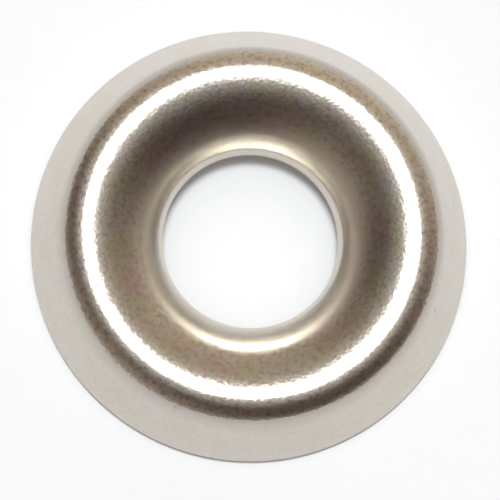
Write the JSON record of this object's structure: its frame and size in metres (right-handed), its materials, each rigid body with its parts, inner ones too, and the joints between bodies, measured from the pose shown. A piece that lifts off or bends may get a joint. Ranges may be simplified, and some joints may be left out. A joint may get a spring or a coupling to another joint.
{
  "type": "finishing cup washer",
  "caption": "Stamped sheet-metal finishing washer with a sloped flank, rounded crown and dished hole that seats and frames a countersunk screw head.",
  "frame": {"origin": "on the washer's axis, in the plane that the rim rests on", "axes": "+Z along the hole's axis, from the rim up to the crown; X and Y in the resting plane"},
  "size_m": [0.0162, 0.0162, 0.003],
  "materials": {
    "nickel_plate": "bright nickel plate with a fine grain"
  },
  "bodies": {
    "root": {"cup_washer": "nickel_plate"}
  },
  "joints": []
}
